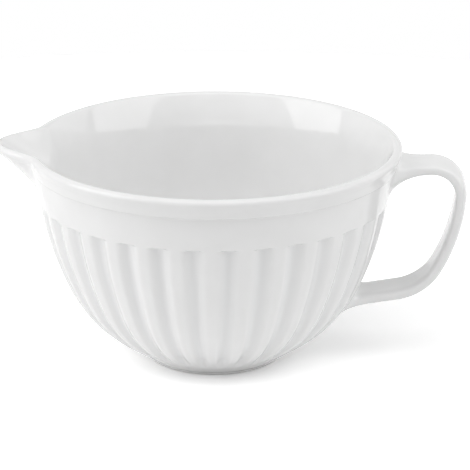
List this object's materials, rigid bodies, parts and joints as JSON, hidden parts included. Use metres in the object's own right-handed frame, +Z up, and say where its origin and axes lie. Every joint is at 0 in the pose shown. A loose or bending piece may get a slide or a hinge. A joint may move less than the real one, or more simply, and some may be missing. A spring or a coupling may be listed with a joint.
{
  "type": "batter bowl",
  "caption": "White glazed ceramic batter bowl with a fluted lower wall, a raised rim, a pouring spout on one side and a strap handle on the other.",
  "frame": {"origin": "centre of the foot ring's contact face, on the bowl's axis", "axes": "+Z up along the bowl's axis, +X towards the handle, -X towards the spout"},
  "size_m": [0.2766, 0.22, 0.13],
  "materials": {
    "glaze": "glossy",
    "bare_clay": "matte"
  },
  "bodies": {
    "root": {"fluted_bowl": "glaze", "rim_collar": "glaze", "pouring_spout": "glaze", "handle": "glaze", "upper_handle_joint": "glaze", "lower_handle_joint": "glaze", "foot_ring": "bare_clay"}
  },
  "joints": []
}
